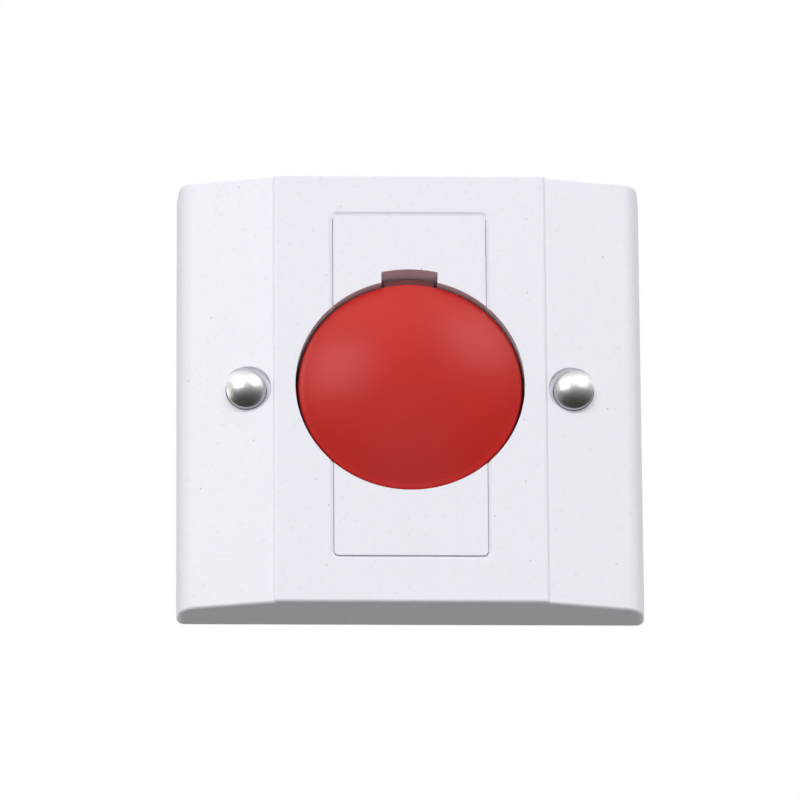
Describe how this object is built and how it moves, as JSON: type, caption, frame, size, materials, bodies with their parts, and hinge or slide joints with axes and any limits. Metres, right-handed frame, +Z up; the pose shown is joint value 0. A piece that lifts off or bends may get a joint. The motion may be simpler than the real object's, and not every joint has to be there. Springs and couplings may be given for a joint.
{
  "type": "emergency call unit",
  "caption": "Square wall plate with a large domed push button, a reset tongue in a notch above it, and a latching switch on a wired board behind.",
  "frame": {"origin": "centre of the plate's back, on the wall plane", "axes": "+Z up, the front faces -Y, +Y points into the wall, +X to the right as seen from the front"},
  "size_m": [0.086, 0.0434, 0.086],
  "materials": {
    "white_plastic": "satin moulded ABS, cool white",
    "red_plastic": "satin moulded red plastic with a fine grain",
    "dark_plastic": "dark moulded plastic",
    "polished_metal": "polished domed metal",
    "zinc_steel": "bright zinc plate",
    "board": "green solder mask",
    "terminal_plastic": "green moulded plastic",
    "resistor": "blue lacquer"
  },
  "bodies": {
    "case": {"face_plate": "white_plastic", "button_housing": "white_plastic", "return_spring": "zinc_steel", "reset_spring": "zinc_steel", "switch_body": "dark_plastic", "switch_pin_1": "zinc_steel", "switch_pin_2": "zinc_steel", "switch_pin_3": "zinc_steel", "switch_pin_4": "zinc_steel", "circuit_board": "board", "controller_chip": "dark_plastic", "capacitor": "dark_plastic", "resistor_1": "resistor", "resistor_2": "resistor", "terminal_block": "terminal_plastic", "terminal_clamp_1": "zinc_steel", "terminal_clamp_2": "zinc_steel", "terminal_clamp_3": "zinc_steel", "terminal_screw_1": "zinc_steel", "terminal_screw_2": "zinc_steel", "terminal_screw_3": "zinc_steel", "rear_cover": "white_plastic", "cover_screw_1": "zinc_steel", "cover_screw_2": "zinc_steel", "cover_screw_3": "zinc_steel", "cover_screw_4": "zinc_steel", "housing_screw_1": "zinc_steel", "housing_screw_2": "zinc_steel", "housing_screw_3": "zinc_steel", "housing_screw_4": "zinc_steel", "fixing_screw_left": "zinc_steel", "fixing_screw_right": "zinc_steel", "screw_cap_left": "polished_metal", "screw_cap_right": "polished_metal"},
    "button": {"push_button": "red_plastic"},
    "plunger": {"switch_plunger": "white_plastic"},
    "reset": {"reset_tongue": "red_plastic"},
    "release": {"switch_release": "red_plastic"}
  },
  "joints": [
    {"name": "button_press", "type": "slide", "parent": "case", "child": "button", "axis": [0, 1, 0], "range_m": [0, 0.003], "stiffness_N_per_m": 600, "springref_m": -0.004, "deforming": ["return_spring"]},
    {"name": "plunger_slide", "type": "slide", "parent": "case", "child": "plunger", "axis": [0, 1, 0], "range_m": [0, 0.003]},
    {"name": "reset_press", "type": "slide", "parent": "case", "child": "reset", "axis": [0, 1, 0], "range_m": [0, 0.002], "stiffness_N_per_m": 200, "springref_m": -0.003, "deforming": ["reset_spring"]},
    {"name": "release_slide", "type": "slide", "parent": "case", "child": "release", "axis": [0, 1, 0], "range_m": [0, 0.002]}
  ],
  "couplings": [
    {"joint": "plunger_slide", "follows": "button_press", "ratio": 1},
    {"joint": "release_slide", "follows": "reset_press", "ratio": 1}
  ]
}
